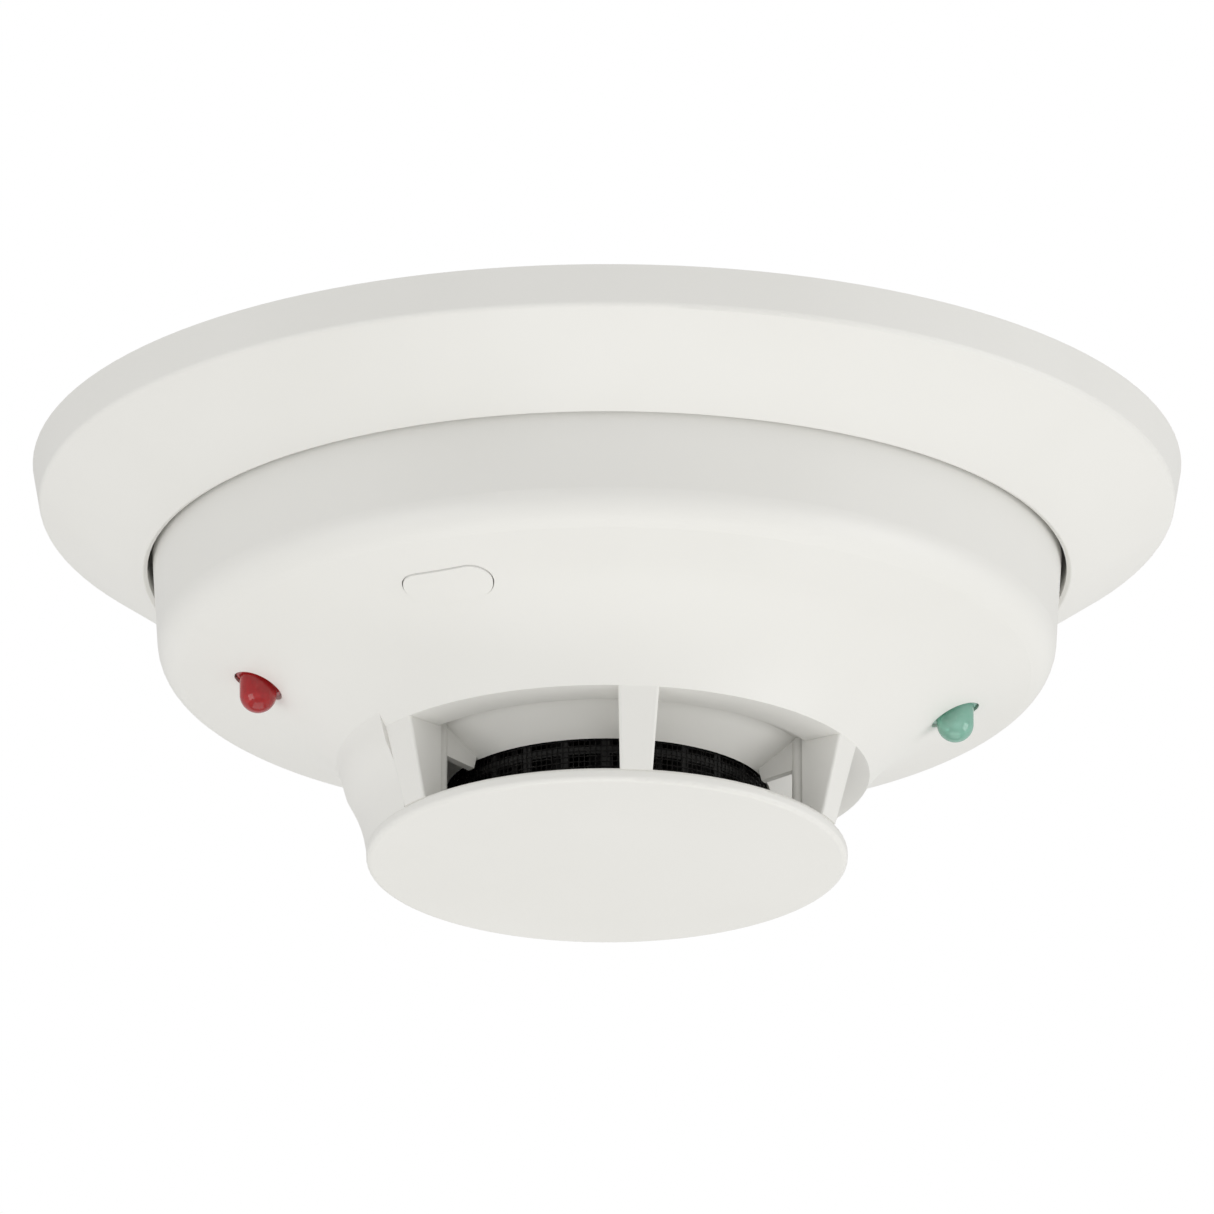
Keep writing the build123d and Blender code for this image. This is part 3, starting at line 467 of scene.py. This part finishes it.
for name, side, body_colour, glass, slot in (
    ("red_led", -1, "red", ("DC2C2E", "B01A20"), "red_epoxy"),
    ("green_led", 1, "green", ("B4E4D2", "8CD4BA"), "green_epoxy"),
):
    epoxy, tree, surface, place = start_material(f"{body_colour}_dyed_epoxy")
    swirl = add_node(tree, "TexNoise", {"Vector": place, "Scale": 1 / 0.0016, "Detail": 2, "Distortion": 1.0})
    tint = add_node(
        tree, "Mix", {0: swirl.outputs["Fac"], 6: linear(glass[0]), 7: linear(glass[1])}, data_type="RGBA"
    )
    tree.links.new(tint.outputs[2], surface.inputs["Base Color"])
    surface.inputs["Transmission Weight"].default_value = 0.45
    surface.inputs["IOR"].default_value = 1.53
    surface.inputs["Roughness"].default_value = 0.06
    lens_points, lens_faces = turned([(radius, 0) for radius, *_ in lens_rings], sides=lens_sides)
    rows = [ring for ring in lens_rings for _ in range(lens_sides)]
    moulded = []
    for (x, y, _), (_, height, follows) in zip(lens_points, rows):
        datum = dome_height(hypot(led_offset + side * x, y)) if follows else led_tip
        moulded.append((side * led_offset + x, y, datum + height))
    lens = add_piece(f"{body_colour}_lens", moulded, lens_faces, epoxy, "head", 30)
    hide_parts(name)
    cup_points, cup_faces = frame_shape
    placed = [(side * (led_offset + 0.1) + side * x, y, led_tip + z) for x, y, z in cup_points]
    if side < 0:
        cup_faces = [tuple(reversed(f)) for f in cup_faces]
    cup = add_piece(f"{body_colour}_led_cup", placed, cup_faces, solder, "head")

# ------------------------------------------------------------------ smoke chamber
# Black glass-filled moulding, matt so that it soaks up stray light; the optics lie in two blocks.
chamber_black, tree, surface, place = start_material("matt_black_chamber_moulding")
grain = add_node(tree, "TexNoise", {"Vector": place, "Scale": 1 / 0.0005, "Detail": 3})
tint = add_node(
    tree, "Mix", {0: grain.outputs["Fac"], 6: linear("0B0A09"), 7: linear("151412")}, data_type="RGBA"
)
tree.links.new(tint.outputs[2], surface.inputs["Base Color"])
relief = add_node(tree, "Bump", {"Height": grain.outputs["Fac"], "Strength": 0.4, "Distance": 0.00005})
tree.links.new(relief.outputs[0], surface.inputs["Normal"])
surface.inputs["Roughness"].default_value = 0.72
dress(chamber_black, "chamber_base", "chamber_cap", "light_vanes", "vane_ring", "insect_screen")

# Infrared emitter in water-clear epoxy, photodiode in epoxy dyed nearly black.
for node_name, name, glass, clear in (
    ("ir_emitter", "faint_blue_epoxy", ("B9C4E0", "A5B2D4"), 0.8),
    ("photodiode", "daylight_filter_epoxy", ("16121C", "0D0A12"), 0.2),
):
    epoxy, tree, surface, place = start_material(name)
    swirl = add_node(tree, "TexNoise", {"Vector": place, "Scale": 1 / 0.002, "Detail": 2})
    tint = add_node(
        tree, "Mix", {0: swirl.outputs["Fac"], 6: linear(glass[0]), 7: linear(glass[1])}, data_type="RGBA"
    )
    tree.links.new(tint.outputs[2], surface.inputs["Base Color"])
    surface.inputs["Transmission Weight"].default_value = clear
    surface.inputs["IOR"].default_value = 1.53
    surface.inputs["Roughness"].default_value = 0.08
    dress(epoxy, node_name)

# ------------------------------------------------------------------ insect screen
# Black woven wire gauze, 0.75 mm mesh, heat-bonded round the drum's frame to keep insects out.
gauze_black, tree, surface, place = start_material("blackened_steel_wire")
wear = add_node(tree, "TexNoise", {"Vector": place, "Scale": 1 / 0.0012, "Detail": 2})
tint = add_node(
    tree, "Mix", {0: wear.outputs["Fac"], 6: linear("0D0C0B"), 7: linear("1B1917")}, data_type="RGBA"
)
tree.links.new(tint.outputs[2], surface.inputs["Base Color"])
surface.inputs["Metallic"].default_value = 0.6
surface.inputs["Roughness"].default_value = 0.45


def wire(route, radius, closed, sides=5):
    """A round wire along a route of points in millimetres."""
    points, faces = [], []
    count = len(route)
    line = [Vector(p) for p in route]
    for i, spot in enumerate(line):
        if closed:
            run = line[(i + 1) % count] - line[i - 1]
        else:
            run = line[min(i + 1, count - 1)] - line[max(i - 1, 0)]
        run.normalize()
        out = Vector((spot.x, spot.y, 0)).normalized()
        across = run.cross(out).normalized()
        out = across.cross(run)
        for k in range(sides):
            turn = 2 * pi * k / sides
            points.append(tuple(spot + (out * cos(turn) + across * sin(turn)) * radius))
    for i in range(count if closed else count - 1):
        a, b = i * sides, (i + 1) % count * sides
        faces += [(a + k, a + (k + 1) % sides, b + (k + 1) % sides, b + k) for k in range(sides)]
    if not closed:
        faces.append(tuple(reversed(range(sides))))
        faces.append(tuple(range(len(points) - sides, len(points))))
    return points, faces


screen_low, screen_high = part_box("insect_screen")
gauze_radius, gauze_pitch, gauze_wire, gauze_lift = 21.33, 0.75, 0.08, 0.07
posts = 178
rows = int((screen_high.z - screen_low.z) / MM / gauze_pitch)
first_row = screen_low.z / MM + 0.5
woven = []
for i in range(posts):
    turn = 2 * pi * i / posts
    route = []
    for j in range(rows):
        reach = gauze_radius + gauze_lift * (-1) ** (i + j)
        route.append((reach * cos(turn), reach * sin(turn), first_row + j * gauze_pitch))
    woven.append(wire(route, gauze_wire, False))
for j in range(rows):
    route = []
    for i in range(posts):
        turn = 2 * pi * i / posts
        reach = gauze_radius - gauze_lift * (-1) ** (i + j)
        route.append((reach * cos(turn), reach * sin(turn), first_row + j * gauze_pitch))
    woven.append(wire(route, gauze_wire, True))
gauze = add_piece("screen_gauze", *joined(*woven), gauze_black, "chamber", 80)

# ------------------------------------------------------------------ cover
# Domed cover, ribs and bottom disc in one ABS moulding, from the same mould finish as the base.
dress(abs_white, "cover", "key_bridge")

# ------------------------------------------------------------------ closed bay
# The bay at the left is closed by a curved ABS wall, moulded in one with the cover. It is flush
# with the neck above and with the ribs below.
bay, half_span, wall_steps, wall_thickness = 180.0, 25.8, 36, 1.4
wall_outside = [(36.75, -42.0), (36.25, -43.0), (35.85, -44.4), (35.3, -46.4), (34.55, -47.8)]
wall_outside += [(33.9, -49.2), (33.3, -50.8), (32.85, -52.4), (32.3, -55.4)]
profile = wall_outside + [(r - wall_thickness, z) for r, z in reversed(wall_outside)]
wall_points, wall_faces = [], []
for i in range(wall_steps + 1):
    turn = radians(bay - half_span + 2 * half_span * i / wall_steps)
    wall_points += [(r * cos(turn), r * sin(turn), z) for r, z in profile]
size = len(profile)
for i in range(wall_steps):
    a, b = i * size, (i + 1) * size
    wall_faces += [(a + k, a + (k + 1) % size, b + (k + 1) % size, b + k) for k in range(size)]
wall_faces.append(tuple(reversed(range(size))))
wall_faces.append(tuple(range(wall_steps * size, (wall_steps + 1) * size)))
bay_wall = add_piece("closed_bay_wall", wall_points, wall_faces, abs_white, "cover")

# ------------------------------------------------------------------ test key
# Oblong ABS key flush in the dome, on a steel compression spring under a riveted bridge.
dress(abs_white, "test_key")
spring_steel, tree, surface, place = start_material("drawn_spring_steel")
wear = add_node(tree, "TexNoise", {"Vector": place, "Scale": 1 / 0.0006, "Detail": 2})
tint = add_node(
    tree, "Mix", {0: wear.outputs["Fac"], 6: linear("B8B9BA"), 7: linear("98999B")}, data_type="RGBA"
)
tree.links.new(tint.outputs[2], surface.inputs["Base Color"])
surface.inputs["Metallic"].default_value = 1.0
surface.inputs["Roughness"].default_value = 0.28
dress(spring_steel, "key_spring")
